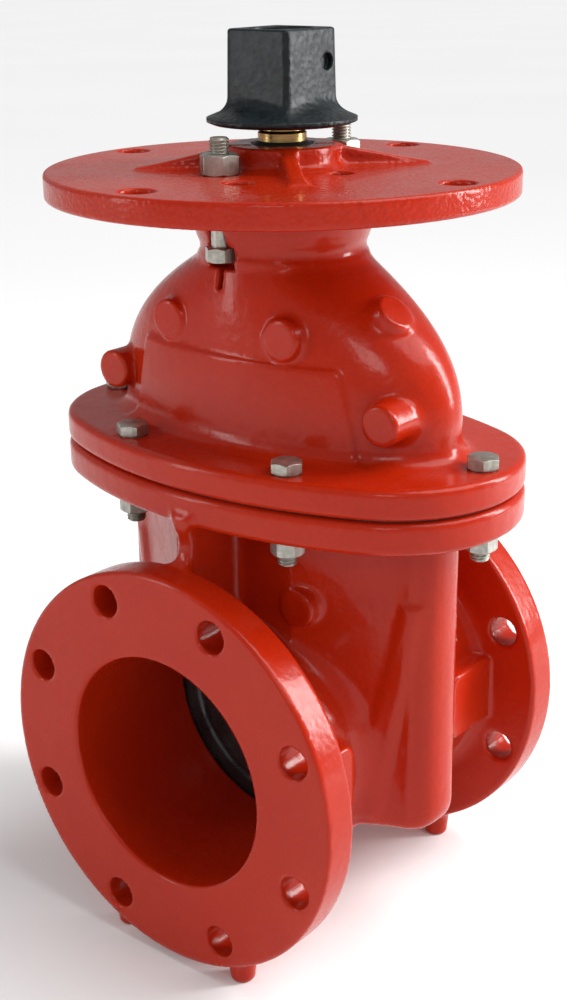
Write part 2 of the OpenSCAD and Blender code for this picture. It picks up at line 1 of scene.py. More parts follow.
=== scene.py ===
"""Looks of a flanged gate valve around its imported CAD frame.

The castings are modelled as distance fields in millimetres, measured from the point where
the pipe's axis crosses the stem's, and turned into smooth meshes. That gives each casting
the fillets and rounded edges of a real one. Fasteners are built ring by ring, with their
threads, and the machined inner pieces keep their CAD meshes.
"""
import json
import math

import bpy
import numpy as np
from mathutils import Matrix, Vector

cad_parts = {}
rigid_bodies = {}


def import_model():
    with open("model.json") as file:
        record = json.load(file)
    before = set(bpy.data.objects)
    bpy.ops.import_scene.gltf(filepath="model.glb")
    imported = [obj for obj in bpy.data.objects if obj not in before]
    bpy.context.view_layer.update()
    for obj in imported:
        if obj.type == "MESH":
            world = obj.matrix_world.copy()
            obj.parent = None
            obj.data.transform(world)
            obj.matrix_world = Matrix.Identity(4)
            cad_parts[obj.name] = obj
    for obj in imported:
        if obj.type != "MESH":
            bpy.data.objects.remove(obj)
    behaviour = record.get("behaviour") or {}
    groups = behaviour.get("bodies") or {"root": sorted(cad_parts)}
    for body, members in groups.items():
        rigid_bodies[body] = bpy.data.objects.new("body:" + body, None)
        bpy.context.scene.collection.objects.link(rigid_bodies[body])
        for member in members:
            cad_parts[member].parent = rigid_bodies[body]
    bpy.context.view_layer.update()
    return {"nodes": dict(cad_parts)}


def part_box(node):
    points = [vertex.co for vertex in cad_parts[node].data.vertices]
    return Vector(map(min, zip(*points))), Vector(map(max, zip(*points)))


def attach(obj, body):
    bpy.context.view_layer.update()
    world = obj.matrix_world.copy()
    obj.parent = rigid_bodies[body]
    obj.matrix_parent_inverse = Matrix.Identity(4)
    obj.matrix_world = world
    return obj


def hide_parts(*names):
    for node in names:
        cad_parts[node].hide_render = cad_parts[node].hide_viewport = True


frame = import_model()

MM = 0.001
AXIS_HEIGHT = 145.0          # the pipe's axis above the floor, in millimetres

# Sizes taken from the frame, in millimetres from the pipe's axis
def span(node):
    """Lowest and highest corner of a CAD node in millimetres from the pipe's axis."""
    low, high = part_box(node)
    shift = np.array([0, 0, AXIS_HEIGHT])
    return np.array(low) / MM - shift, np.array(high) / MM - shift


BODY_LOW, BODY_HIGH = span("body")
BONNET_LOW, BONNET_HIGH = span("bonnet")
PLATE_LOW, PLATE_HIGH = span("post_plate")
NUT_LOW, NUT_HIGH = span("wrench_nut")
HALF_LENGTH = BODY_HIGH[0]   # end face of the pipe
JOINT_Z = BODY_HIGH[2]       # top of the case's flange
PLATE_R = PLATE_HIGH[0]
NECK_TOP = BONNET_HIGH[2]    # underside of the post plate

JOINT_LOW = 167              # underside of the case's flange
JOINT_TOP = 209.5            # top of the bonnet's flange
FLANGE_R = 139.7             # an end flange, its thickness and its bolt circle
FLANGE_T = 25.4
FLANGE_BOLTS_R = 120.65
RIM_HOLE_R = 11.1            # bolt holes of the end flanges and of the post plate
BORE_R = 81                  # waterway
NECK_R = 94                  # necks between the end flanges and the case
CASE_R = 100                 # round bottom of the case
SEAT_SLOPE = math.tan(math.radians(3.5))
CORNER_BOLT = (80, 66)       # joint bolts: a corner one along and across, an end one across
END_BOLT_Y = 157
BOLT_HOLE_R = 7.15
DOME_FOOT, DOME_END = 226, 328   # where the dome starts to close and where it would end
DOME_X, DOME_Y, DOME_NECK = 61, 136, 52
DOME_WALL = 11
CAVITY_TOP = 301
BOX_BOLT_R = 53              # stuffing box bolts from the stem
BOX_TURN = math.radians(-8)  # and how far they stand off the pipe's line
PLATE_TOP = 381.8
SIDE_R, SIDE_X, END_Y = 300, 195, 88     # long side arcs of the joint, round ends' middles


# ---- Distance fields ------------------------------------------------------------------

def smooth_min(a, b, k):
    """Union of two fields with a fillet of about k."""
    h = np.maximum(k - np.abs(a - b), 0) / k
    return np.minimum(a, b) - h * h * k / 4


def smooth_max(a, b, k):
    """Intersection of two fields with an edge rounded by about k."""
    return -smooth_min(-a, -b, k)


def cut(solid, hole, k):
    return smooth_max(solid, -hole, k)


def extrude(outline, w, low, high, r=0.0):
    """A flat outline's field made solid from low to high along w, its edges rounded by r."""
    side = outline + r
    end = np.maximum(low - w, w - high) + r
    outside = np.hypot(np.maximum(side, 0), np.maximum(end, 0))
    return outside + np.minimum(np.maximum(side, end), 0) - r


def rectangle(u, v, half_u, half_v, r=0.0):
    du = np.abs(u) - half_u + r
    dv = np.abs(v) - half_v + r
    outside = np.hypot(np.maximum(du, 0), np.maximum(dv, 0))
    return outside + np.minimum(np.maximum(du, dv), 0) - r


def polygon(u, v, corners):
    """Signed distance to a polygon given by its corners."""
    best = np.full(u.shape, 1e9, np.float32)
    inside = np.zeros(u.shape, bool)
    for (ax, ay), (bx, by) in zip(corners, corners[1:] + corners[:1]):
        ex, ey = bx - ax, by - ay
        t = np.clip(((u - ax) * ex + (v - ay) * ey) / (ex * ex + ey * ey), 0, 1)
        best = np.minimum(best, np.hypot(u - ax - ex * t, v - ay - ey * t))
        crosses = (ay > v) != (by > v)
        if ey:
            inside ^= crosses & (u < ex * (v - ay) / ey + ax)
    return np.where(inside, -best, best)


def turned(x, y):
    """Coordinates folded so that what is drawn at -X is repeated by half a turn at +X."""
    flip = np.where(x > 0, -1.0, 1.0)
    return x * flip, y * flip


# ---- Fields of the castings -----------------------------------------------------------

def joint_outline(x, y):
    """Oval outline of the two joint flanges: a long arc at each side, a round end."""
    ax, ay = np.abs(x), np.abs(y)
    side = np.hypot(ax + SIDE_X, ay) - SIDE_R
    end = np.hypot(ax, ay - END_Y) - (SIDE_R - math.hypot(SIDE_X, END_Y))
    return np.where((ax + SIDE_X) * END_Y > ay * SIDE_X, side, end)


def box_frame(x, y):
    """Coordinates in which both stuffing box bolts stand on the X axis."""
    c, s = math.cos(BOX_TURN), math.sin(BOX_TURN)
    return x * c + y * s, y * c - x * s


def bolt_places(x, y):
    """Distance to the nearest of the six joint bolts."""
    ax, ay = np.abs(x), np.abs(y)
    corner = np.hypot(ax - CORNER_BOLT[0], ay - CORNER_BOLT[1])
    return np.minimum(corner, np.hypot(ax, ay - END_BOLT_Y))


def plan(x, y, mid, end, reach):
    """Plan of the case: thick in the middle, narrow and round at both ends."""
    ax, ay = np.abs(x), np.abs(y)
    knee = reach - end
    middle = polygon(ax, ay, [(-90, -90), (mid, -90), (mid, 50), (end, knee), (-90, knee)])
    tip = np.hypot(ax, np.maximum(ay - knee, 0)) - end
    return smooth_min(middle, tip, 8)


def case_field(x, y, z):
    ax, ay = np.abs(x), np.abs(y)
    r = np.hypot(y, z)
    # Case, with flat undersides beyond its round bottom
    corner = np.hypot(np.maximum(ay - 118, 0), np.minimum(z + 34, 0)) - 20
    front = smooth_min(r - CASE_R, corner, 8)
    case = smooth_max(plan(x, y, 58, 20, 138), front, 8)
    # Legs: flat-sided stripes from each narrow end down to the necks
    leg = polygon(ay, z, [(116, 112), (126, 112), (100, -44), (84, -44)])
    leg = smooth_max(leg, plan(x, y, 62, 23, 137), 5)
    case = smooth_min(case, leg, 5)
    case = np.maximum(case, z - 175)
    # Necks and end flanges
    neck = extrude(r - NECK_R, ax, -1, 110)
    body = smooth_min(case, neck, 11)
    flange = extrude(r - FLANGE_R, ax, HALF_LENGTH - FLANGE_T, HALF_LENGTH, 2.2)
    body = smooth_min(body, flange, 15)
    pad = extrude(rectangle(ax - 84, z, 26, 25, 9), ay, 60, 103, 2)
    body = smooth_min(body, pad, 4)
    # Joint flange, webs, bosses and feet
    joint = extrude(joint_outline(x, y), z, JOINT_LOW, JOINT_Z, 4.5)
    web = polygon(ax, z, [(40, 80), (107.5, 90), (107.5, 172), (40, 172)])
    web = smooth_max(web, 14 - np.hypot(ax - 119, z - 153), 3)
    web = smooth_max(web, np.abs(y) - 5.5, 3)
    body = smooth_min(smooth_min(body, web, 9), joint, 9)
    tx, ty = turned(x, y)
    boss = extrude(np.hypot(ty + 55, z - 108) - 13, -tx, 30, 59.5, 2)
    body = smooth_min(body, boss, 4)
    foot_r = 8.3 + (z + AXIS_HEIGHT) * 0.1
    foot = extrude(np.hypot(ax - 117, ay - 53) - foot_r, z, -AXIS_HEIGHT, -120, 2)
    body = smooth_min(body, foot, 5)
    # Waterway, cavity and bolt holes
    body = cut(body, r - BORE_R, 2)
    seat = 23 + z * SEAT_SLOPE
    mouth = np.clip((z - 96) / 30, 0, 1)
    seat = np.where(z > 96, 28.9 + (38 - 28.9) * mouth, seat)
    pocket = np.where(z > 0, ay - 127, r - 87.5)
    cavity = np.maximum(ax - seat, np.maximum(pocket, plan(x, y, 46, 12, 127)))
    channel = np.maximum(plan(x, y, 12, 12, 127), -28 - z)
    body = cut(body, np.minimum(cavity, channel), 1.5)
    angle = np.arctan2(z, y)
    sector = math.pi / 4
    nearest = (np.floor(angle / sector) + 0.5) * sector
    along, across = r * np.cos(angle - nearest), r * np.sin(angle - nearest)
    hole = np.hypot(along - FLANGE_BOLTS_R, across) - RIM_HOLE_R
    body = cut(body, np.maximum(hole, 104 - ax), 1.2)
    return cut(body, np.maximum(bolt_places(x, y) - BOLT_HOLE_R, 150 - z), 1)


def dome_shape(x, y, z, inset):
    """Dome of oval plan that closes in a steep curve to the round neck."""
    t = np.clip((z - DOME_FOOT) / (DOME_END - DOME_FOOT), 0, 1.3)
    closing = 1 - t ** 2.4
    half_x = np.maximum(DOME_NECK + (DOME_X - DOME_NECK) * closing - inset, 5)
    half_y = np.maximum(DOME_NECK + (DOME_Y - DOME_NECK) * closing - inset, 5)
    return np.sqrt((x / half_x) ** 2 + (y / half_y) ** 2) - 1


def dome_field(x, y, z, inset):
    """Distance to the dome, from its shape and the shape's gradient."""
    step = 0.5
    g = dome_shape(x, y, z, inset)
    gx = dome_shape(x + step, y, z, inset) - dome_shape(x - step, y, z, inset)
    gy = dome_shape(x, y + step, z, inset) - dome_shape(x, y - step, z, inset)
    gz = dome_shape(x, y, z + step, inset) - dome_shape(x, y, z - step, inset)
    slope = np.sqrt(gx * gx + gy * gy + gz * gz) / (2 * step)
    return np.clip(g / np.maximum(slope, 1e-3), -60, 60)


def bonnet_field(x, y, z):
    ax, ay = np.abs(x), np.abs(y)
    r = np.hypot(x, y)
    tx, ty = turned(x, y)
    low = BONNET_LOW[2]
    skin = dome_field(x, y, z, 0)
    dome = np.maximum(skin, np.maximum(z - 326, low - z))
    neck = polygon(r, z, [(-9, 290), (45, 290), (45, 326), (47.5, 329), (52, 333), (56, 339),
                          (58.6, 346), (59.6, 353), (60, NECK_TOP), (-9, NECK_TOP)])
    shell = smooth_min(dome, neck, 16)
    # Panels of even thickness and bosses
    panel = polygon(ay, z, [(-90, 190), (87, 196), (86.5, 223), (77, 263), (-90, 263)]) - 6
    panel = smooth_max(panel, skin - 2.2, 2.5)
    panel = smooth_max(panel, 10 - ax, 2)
    shell = smooth_min(shell, panel, 2.5)
    for place, face in ((-44, 59), (53, 57)):
        boss = extrude(np.hypot(ty - place, z - 285) - 13.2, -tx, 5, face, 2)
        shell = smooth_min(shell, boss, 4)
    boss = extrude(np.hypot(ay - 113, z - 240) - 13.2, -x, 5, 50, 2)
    shell = smooth_min(shell, boss, 4)
    end_x = np.where(y < 0, x + 12, x - 12)
    out = (ay - 95 + z - 299) / math.sqrt(2)
    across = (ay - 95 - z + 299) / math.sqrt(2)
    knob = extrude(np.hypot(end_x, across) - 13, out, -20, 5, 2)
    shell = smooth_min(shell, knob, 5)
    joint = extrude(joint_outline(x, y), z, low, JOINT_TOP, 4.5)
    shell = smooth_min(shell, joint, 13)
    # Inside
    inside = np.maximum(dome_field(x, y, z, DOME_WALL), z - CAVITY_TOP)
    shell = cut(shell, inside, 2)
    shell = cut(shell, r - 16, 1)
    shell = cut(shell, np.maximum(r - 30, 331.5 - z), 1)
    # Slots for the stuffing box bolts, and the drain below each
    bx, by = box_frame(x, y)
    bx, by = np.abs(bx), np.abs(by)
    slot = np.hypot(np.minimum(bx - BOX_BOLT_R, 0), by) - 7.6
    shell = cut(shell, np.maximum(slot, 330 - z), 1.2)
    pocket = np.maximum(np.maximum(by - 11.6, 41.5 - bx), np.maximum(323 - z, z - 337.1))
    shell = cut(shell, pocket, 1.2)
    drain = np.maximum(np.maximum(by - 2.2, 46 - bx), np.maximum(310 - z, z - 325))
    shell = cut(shell, drain, 1.5)
    return cut(shell, bolt_places(x, y) - BOLT_HOLE_R, 1)


def plate_field(x, y, z):
    r = np.hypot(x, y)
    plate = extrude(r - PLATE_R, z, NECK_TOP, PLATE_TOP, 2.2)
    hub_r = 36 + np.clip(PLATE_TOP + 5 - z, 0, 5) * 0.5
    hub = extrude(r - hub_r, z, 370, PLATE_HIGH[2], 2)
    plate = smooth_min(plate, hub, 5)
    # Ribs on the diagonals
    along = (np.abs(x) + np.abs(y)) / math.sqrt(2)
    across = (np.abs(x) - np.abs(y)) / math.sqrt(2)
    rib = polygon(along, z, [(20, 372), (96, 372), (93, 382.6), (38, 394), (20, 394)])
    rib = smooth_max(rib, np.abs(across) - 4.8, 2)
    plate = smooth_min(plate, rib, 5)
    spigot = extrude(r - 29.9, z, PLATE_LOW[2], 372, 0.8)
    plate = np.minimum(plate, spigot)
    plate = cut(plate, r - 15.65, 0.8)
    plate = cut(plate, np.maximum(r - 20, 391.5 - z), 0.5)
    # Rim holes, bolt holes and spare holes
    u, v = np.maximum(np.abs(x), np.abs(y)), np.minimum(np.abs(x), np.abs(y))
    holes = np.hypot(u - 133.35, v) - RIM_HOLE_R
    bx, by = box_frame(x, y)
    holes = np.minimum(holes, np.hypot(np.abs(bx) - BOX_BOLT_R, by) - BOLT_HOLE_R)
    holes = np.minimum(holes, np.hypot(bx, np.abs(by) - 52) - 8)
    seat = np.maximum(np.hypot(np.abs(bx) - BOX_BOLT_R, by) - 13.5, PLATE_TOP - 0.5 - z)
    plate = cut(plate, seat, 0.5)
    tx, ty = turned(x, y)
    vent = math.radians(20)
    holes = np.minimum(holes, np.hypot(tx + 79 * math.cos(vent), ty + 79 * math.sin(vent)) - 10)
    return cut(plate, holes, 1.2)


def nut_field(x, y, z):
    r = np.hypot(x, y)
    top = NUT_HIGH[2]
    half = 24.6 + (top - z) * 0.8 / 44.5
    square = smooth_max(np.abs(x) - half, np.abs(y) - half, 4)
    square = smooth_max(square, np.maximum(z - top, 412 - z), 2)
    brim = polygon(r, z, [(-9, 410), (44, 408.6), (48, 410.2), (48, 412.6), (42, 415),
                          (26, 421), (-9, 424)])
    nut = smooth_min(square, brim, 7)
    nut = cut(nut, np.maximum(r - 20.5, 448 - z), 1.5)
    nut = cut(nut, rectangle(x, y, 9.6, 9.6), 0.6)
    nut = cut(nut, np.maximum(r - 13.6, z - 411.5), 0.6)
    return cut(nut, np.maximum(np.hypot(x - 15, z - 446) - 5, y + 21), 1)


def wedge_field(x, y, z):
    """Rubber skin of the wedge: round rim, flat faces with a moulded ring on each."""
    ax = np.abs(x)
    r = np.hypot(y, z)
    face = 23 + z * SEAT_SLOPE - 0.4
    disc = smooth_max(r - 86, ax - face, 5)
    ring = np.abs(r - 66) - 2.2
    return cut(disc, np.maximum(ring, face - 1.6 - ax), 1.5)


# ---- From field to mesh ---------------------------------------------------------------

CORNERS = [(i, j, k) for i in (0, 1) for j in (0, 1) for k in (0, 1)]
EDGES = [(a, b) for a in range(8) for b in range(a + 1, 8)
         if sum(abs(p - q) for p, q in zip(CORNERS[a], CORNERS[b])) == 1]


def sample(field, low, step, shape):
    """The field on a grid, worked out only in the blocks that the surface may cross."""
    block = 8
    values = np.empty(shape, np.float32)
    counts = [-(-n // block) for n in shape]
    middles = [low[a] + (np.arange(counts[a]) * block + block / 2) * step for a in range(3)]
    mx, my, mz = np.meshgrid(*middles, indexing="ij")
    rough = field(mx, my, mz)
    reach = block * step * 1.1
    for bi, bj, bk in np.ndindex(*counts):
        box = tuple(slice(b * block, min((b + 1) * block, n))
                    for b, n in zip((bi, bj, bk), shape))
        d = rough[bi, bj, bk]
        if abs(d) > reach:
            values[box] = d
    near = np.argwhere(np.abs(rough) <= reach)
    offsets = np.stack(np.meshgrid(*[np.arange(block)] * 3, indexing="ij"), -1).reshape(-1, 3)
    for start in range(0, len(near), 2000):
        index = (near[start:start + 2000, None, :] * block + offsets[None]).reshape(-1, 3)
        index = index[(index < np.array(shape)).all(1)]
        x, y, z = (low[a] + index[:, a].astype(np.float32) * step for a in range(3))
        values[index[:, 0], index[:, 1], index[:, 2]] = field(x, y, z)
    return values


def surface(field, low, high, step):
    """Vertices and quads of the field's zero surface, by surface nets, in millimetres."""
    low = np.array(low, float) - 2.37 * step
    shape = tuple(int(math.ceil((h - l) / step)) + 3 for l, h in zip(low, high))
    values = sample(field, low, step, shape)
    inside = values < 0
    cells = tuple(n - 1 for n in shape)
    total = np.zeros(cells, np.int8)
    for i, j, k in CORNERS:
        total += inside[i:i + cells[0], j:j + cells[1], k:k + cells[2]]
    active = np.argwhere((total > 0) & (total < 8))
    number = np.full(cells, -1, np.int64)
    number[tuple(active.T)] = np.arange(len(active))
    at = [values[tuple((active + c).T)] for c in CORNERS]
    places = np.zeros((len(active), 3))
    weight = np.zeros(len(active))
    for a, b in EDGES:
        crossed = (at[a] < 0) != (at[b] < 0)
        t = np.where(crossed, at[a] / np.where(crossed, at[a] - at[b], 1), 0)
        point = np.array(CORNERS[a]) + t[:, None] * (np.array(CORNERS[b]) - np.array(CORNERS[a]))
        places += point * crossed[:, None]
        weight += crossed
    points = low + (active + places / weight[:, None]) * step
    quads = []
    for axis in range(3):
        u, v = (axis + 1) % 3, (axis + 2) % 3
        ahead = [slice(None)] * 3
        behind = [slice(None)] * 3
        ahead[axis], behind[axis] = slice(1, None), slice(None, -1)
        change = inside[tuple(ahead)] != inside[tuple(behind)]
        edge = np.argwhere(change)
        edge = edge[(edge[:, u] > 0) & (edge[:, v] > 0)
                    & (edge[:, u] < cells[u]) & (edge[:, v] < cells[v])]
        ring = []
        for du, dv in ((-1, -1), (0, -1), (0, 0), (-1, 0)):
            cell = edge.copy()
            cell[:, u] += du
            cell[:, v] += dv
            ring.append(number[tuple(cell.T)])
        ring = np.stack(ring, 1)
        outward = inside[tuple(edge.T)]
        ring[~outward] = ring[~outward][:, ::-1]
        quads.append(ring)
    return settle(field, points, step), np.concatenate(quads)


def settle(field, points, step):
    """Moves the vertices onto the field's zero surface."""
    reach = 0.45 * step
    small = 0.25 * step
    start = points.copy()
    for _ in range(3):
        x, y, z = points.T
        d = field(x, y, z)
        slope = np.stack([
            field(x + small, y, z) - field(x - small, y, z),
            field(x, y + small, z) - field(x, y - small, z),
            field(x, y, z + small) - field(x, y, z - small),
        ], 1) / (2 * small)
        size = np.maximum((slope ** 2).sum(1), 0.25)
        points = points - 0.8 * (d / size)[:, None] * slope
        points = start + np.clip(points - start, -reach, reach)
    return points


def mesh_object(name, points, faces, smooth=True):
    """A mesh object from millimetres measured from the pipe's axis."""
    mesh = bpy.data.meshes.new(name)
    place = (np.asarray(points) + [0, 0, AXIS_HEIGHT]) * MM
    mesh.from_pydata(place.tolist(), [],
                     faces.tolist() if isinstance(faces, np.ndarray) else faces)
    mesh.validate()
    mesh.shade_smooth() if smooth else mesh.shade_flat()
    obj = bpy.data.objects.new(name, mesh)
    bpy.context.scene.collection.objects.link(obj)
    return obj


def casting(name, field, node, step, body):
    """A casting made from its field, in place of a CAD node."""
    low, high = span(node)
    points, faces = surface(field, low, high, step)
    obj = mesh_object(name, points, faces)
    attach(obj, body)
    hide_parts(node)
    return obj


COARSE = 1.0
case = casting("valve_case", case_field, "body", 2.1 * COARSE, "valve_body")
bonnet = casting("bonnet_casting", bonnet_field, "bonnet", 1.9 * COARSE, "valve_body")
plate = casting("post_flange", plate_field, "post_plate", 1.7 * COARSE, "valve_body")
nut = casting("wrench_nut_casting", nut_field, "wrench_nut", 0.9 * COARSE, "stem")
skin = casting("wedge_skin", wedge_field, "wedge_rubber", 1.9 * COARSE, "wedge")


# ---- Fasteners ------------------------------------------------------------------------

BOLT_R = 6.35
PITCH = 1.954                 # thirteen threads to the inch
AROUND = 48                   # points round a turned part


class Shape:
    """Points and faces of a part made of rings round its own Z axis, in millimetres."""

    def __init__(self):
        self.points, self.faces = [], []

    def rings(self, rings, close_start=True, close_end=True):
        """Joins rings of equal length with quads, and closes both ends with a fan."""
        n = len(rings[0])
        base = len(self.points)
        for ring in rings:
            self.points += ring
        for k in range(len(rings) - 1):
            for i in range(n):
                a, b = base + k * n + i, base + k * n + (i + 1) % n
                self.faces.append((a, b, b + n, a + n))
        for wanted, k, flip in ((close_start, 0, True), (close_end, len(rings) - 1, False)):
            if not wanted:
                continue
            ring = rings[k]
            self.points.append((0.0, 0.0, sum(p[2] for p in ring) / n))
            centre = len(self.points) - 1
            for i in range(n):
                a, b = base + k * n + i, base + k * n + (i + 1) % n
                self.faces.append((b, a, centre) if flip else (a, b, centre))
        return self

    def profile(self, pairs, around=AROUND):
        """A turned part from (radius, height) pairs."""
        turn = [2 * math.pi * i / around for i in range(around)]
        rings = [[(r * math.cos(t), r * math.sin(t), z) for t in turn] for r, z in pairs]
        return self.rings(rings)

    def hexagon(self, width, low, high, hole=0.0, spin=0.0):
        """A hexagon whose corners are cut by a cone at both ends, as on a nut or a head."""
        around = 72
        flat = width / 2
        inner = flat * 0.955
        slope = math.tan(math.radians(30))
        rings = [[] for _ in range(6)]
        for i in range(around):
            t = 2 * math.pi * i / around
            off = math.radians((math.degrees(t) + 30) % 60 - 30)
            corner = flat / math.cos(off)
            c, s = math.cos(t + spin), math.sin(t + spin)
            cone = (corner - inner) * slope
            for ring, (r, z) in zip(rings, (
                (hole, low), (inner, low), (corner, low + cone),
                (corner, high - cone), (inner, high), (hole, high),
            )):
                ring.append((r * c, r * s, z))
        if not hole:
            rings = rings[1:-1]
            return self.rings(rings)
        return self.rings(rings + [rings[0]], False, False)

    def thread(self, low, high, radius=BOLT_R, pitch=PITCH, up=True):
        """A threaded end with a bevelled tip, its helix cut into the rings."""
        depth = 0.55 * pitch
        step = pitch / 7
        count = int((high - low) / step)
        rings = []
        for k in range(count + 1):
            z = low + (high - low) * k / count
            to_tip = high - z if up else z - low
            limit = radius - max(0.0, 1.2 - to_tip)
            ring = []
            for i in range(AROUND):
                t = 2 * math.pi * i / AROUND
                phase = (z / pitch - t / (2 * math.pi)) % 1
                ridge = min(1.0, max(0.0, 1.35 - abs(phase - 0.5) * 3.2))
                r = min(radius - depth * (1 - ridge), limit)
                ring.append((r * math.cos(t), r * math.sin(t), z))
            rings.append(ring)
        return self.rings(rings)

    def placed(self, places):
        """The same shape at each of several places."""
        points, faces = [], []
        for x, y, z, spin in places:
            base = len(points)
            c, s = math.cos(spin), math.sin(spin)
            points += [(x + px * c - py * s, y + px * s + py * c, z + pz)
                       for px, py, pz in self.points]
            faces += [tuple(base + i for i in face) for face in self.faces]
        return points, faces


def fastener(name, shape, places, node, body="valve_body", bevel=0.35):
    points, faces = shape.placed(places)
    obj = mesh_object(name, points, faces)
    obj.data.set_sharp_from_angle(angle=math.radians(32))
    if bevel:
        modifier = obj.modifiers.new("edges", "BEVEL")
        modifier.width = bevel * MM
        modifier.segments = 2
        modifier.limit_method = "ANGLE"
        modifier.angle_limit = math.radians(38)
    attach(obj, body)
    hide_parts(node)
    return obj


bolt_low, bolt_high = (v[2] for v in span("bonnet_bolts"))
nut_low, nut_high = (v[2] for v in span("bonnet_nuts"))
corner_places = [(sx * CORNER_BOLT[0], sy * CORNER_BOLT[1]) for sx in (-1, 1) for sy in (-1, 1)]
joint_places = corner_places + [(0, -END_BOLT_Y), (0, END_BOLT_Y)]
turns = (0.15, 0.52, 0.83, 0.3, 0.07, 0.61)      # how each bolt happens to be turned

joint_bolt = Shape().hexagon(19, JOINT_TOP + 0.4, bolt_high)
joint_bolt.profile([(9.0, JOINT_TOP), (9.0, JOINT_TOP + 0.5)])
joint_bolt.profile([(BOLT_R, 165), (BOLT_R, JOINT_TOP + 1)])
joint_bolt.thread(bolt_low, 166, up=False)
fastener("joint_bolts", joint_bolt, [(x, y, 0, t) for (x, y), t in zip(joint_places, turns)],
         "bonnet_bolts")
joint_nut = Shape().hexagon(19, nut_low, nut_high - 0.4, hole=6.2)
joint_nut.profile([(9.0, nut_high - 0.5), (9.0, nut_high)])
fastener("joint_nuts", joint_nut,
         [(x, y, 0, t + 0.4) for (x, y), t in zip(joint_places, turns)],
         "bonnet_nuts")

stud_low, stud_high = (v[2] for v in span("stuffing_box_bolts"))
box_nut_low, box_nut_high = (v[2] for v in span("stuffing_box_nuts"))
box_bolt = Shape().hexagon(19, stud_low, stud_low + 9.5)
box_bolt.profile([(BOLT_R, stud_low + 9), (BOLT_R, box_nut_low + 1)])
box_bolt.thread(box_nut_low + 0.5, stud_high)
box_places = [(s * BOX_BOLT_R * math.cos(BOX_TURN), s * BOX_BOLT_R * math.sin(BOX_TURN), 0,
               BOX_TURN + math.radians(30)) for s in (-1, 1)]
fastener("box_bolts", box_bolt, box_places, "stuffing_box_bolts")
box_nut = Shape().hexagon(22.2, box_nut_low, box_nut_high, hole=6.2)
fastener("box_nuts", box_nut, box_places, "stuffing_box_nuts")

screw_low, screw_high = (v[2] for v in span("hold_down_screw"))
head_low = screw_high - 7
screw = Shape().hexagon(16, head_low, screw_high)
screw.profile([(4.9, screw_low), (4.9, head_low + 0.5)])
fastener("top_screw", screw, [(0, 0, 0, 0.3)], "hold_down_screw", "stem")


# ---- Materials ------------------------------------------------------------------------

class Nodes:
    """Builds a Principled material from small procedural parts."""

    def __init__(self, name, **constants):
        self.material = bpy.data.materials.new(name)
        self.material.use_nodes = True
        self.tree = self.material.node_tree
        self.shader = self.tree.nodes["Principled BSDF"]
        for socket, value in constants.items():
            self.shader.inputs[socket.replace("_", " ")].default_value = value
        self.where = self.tree.nodes.new("ShaderNodeTexCoord").outputs["Object"]

    def node(self, kind, **settings):
        node = self.tree.nodes.new(kind)
        for key, value in settings.items():
            setattr(node, key, value)
        return node

    def link(self, source, target):
        self.tree.links.new(source, target)

    def noise(self, scale, detail=3.0, roughness=0.5, distortion=0.0, stretch=None):
        node = self.node("ShaderNodeTexNoise")
        node.inputs["Scale"].default_value = scale
        node.inputs["Detail"].default_value = detail
        node.inputs["Roughness"].default_value = roughness
        node.inputs["Distortion"].default_value = distortion
        place = self.where
        if stretch:
            mapping = self.node("ShaderNodeMapping")
            mapping.inputs["Scale"].default_value = stretch
            self.link(self.where, mapping.inputs["Vector"])
            place = mapping.outputs["Vector"]
        self.link(place, node.inputs["Vector"])
        return node.outputs["Fac"]

    def cells(self, scale, feature="F1", smooth=None):
        node = self.node("ShaderNodeTexVoronoi", feature=feature)
        node.inputs["Scale"].default_value = scale
        if smooth is not None:
            node.inputs["Smoothness"].default_value = smooth
        self.link(self.where, node.inputs["Vector"])
        return node.outputs["Distance"]

    def ramp(self, value, low, high, start, end):
        """Maps a value from low..high to start..end, held at both ends."""
        node = self.node("ShaderNodeMapRange")
        limits = {"From Min": low, "From Max": high, "To Min": start, "To Max": end}
        for key, number in limits.items():
            node.inputs[key].default_value = number
        self.link(value, node.inputs["Value"])
        return node.outputs["Result"]

    def math(self, operation, a, b=None):
        node = self.node("ShaderNodeMath", operation=operation)
        for socket, value in zip(node.inputs, (a, b)):
            if value is None:
                continue
            if isinstance(value, (int, float)):
                socket.default_value = value
            else:
                self.link(value, socket)
        return node.outputs[0]

    def mix(self, factor, a, b):
        node = self.node("ShaderNodeMix", data_type="RGBA")
        self.link(factor, node.inputs["Factor"])
        for index, value in ((6, a), (7, b)):
            if isinstance(value, tuple):
                node.inputs[index].default_value = value + (1.0,)
            else:
                self.link(value, node.inputs[index])
        return node.outputs[2]

    def bump(self, layers):
        """Bumps one on another; each layer is (height, distance in millimetres)."""
        normal = None
        for height, distance in layers:
            node = self.node("ShaderNodeBump")
            node.inputs["Strength"].default_value = 1.0
            node.inputs["Distance"].default_value = distance * MM
            self.link(height, node.inputs["Height"])
            if normal:
                self.link(normal, node.inputs["Normal"])
            normal = node.outputs["Normal"]
        self.link(normal, self.shader.inputs["Normal"])

    def out(self, socket, value):
        self.link(value, self.shader.inputs[socket])


def srgb(r, g, b):
    """An sRGB colour from 0..255 as linear light."""
    def linear(c):
        c /= 255
        return c / 12.92 if c <= 0.04045 else ((c + 0.055) / 1.055) ** 2.4
    return linear(r), linear(g), linear(b)


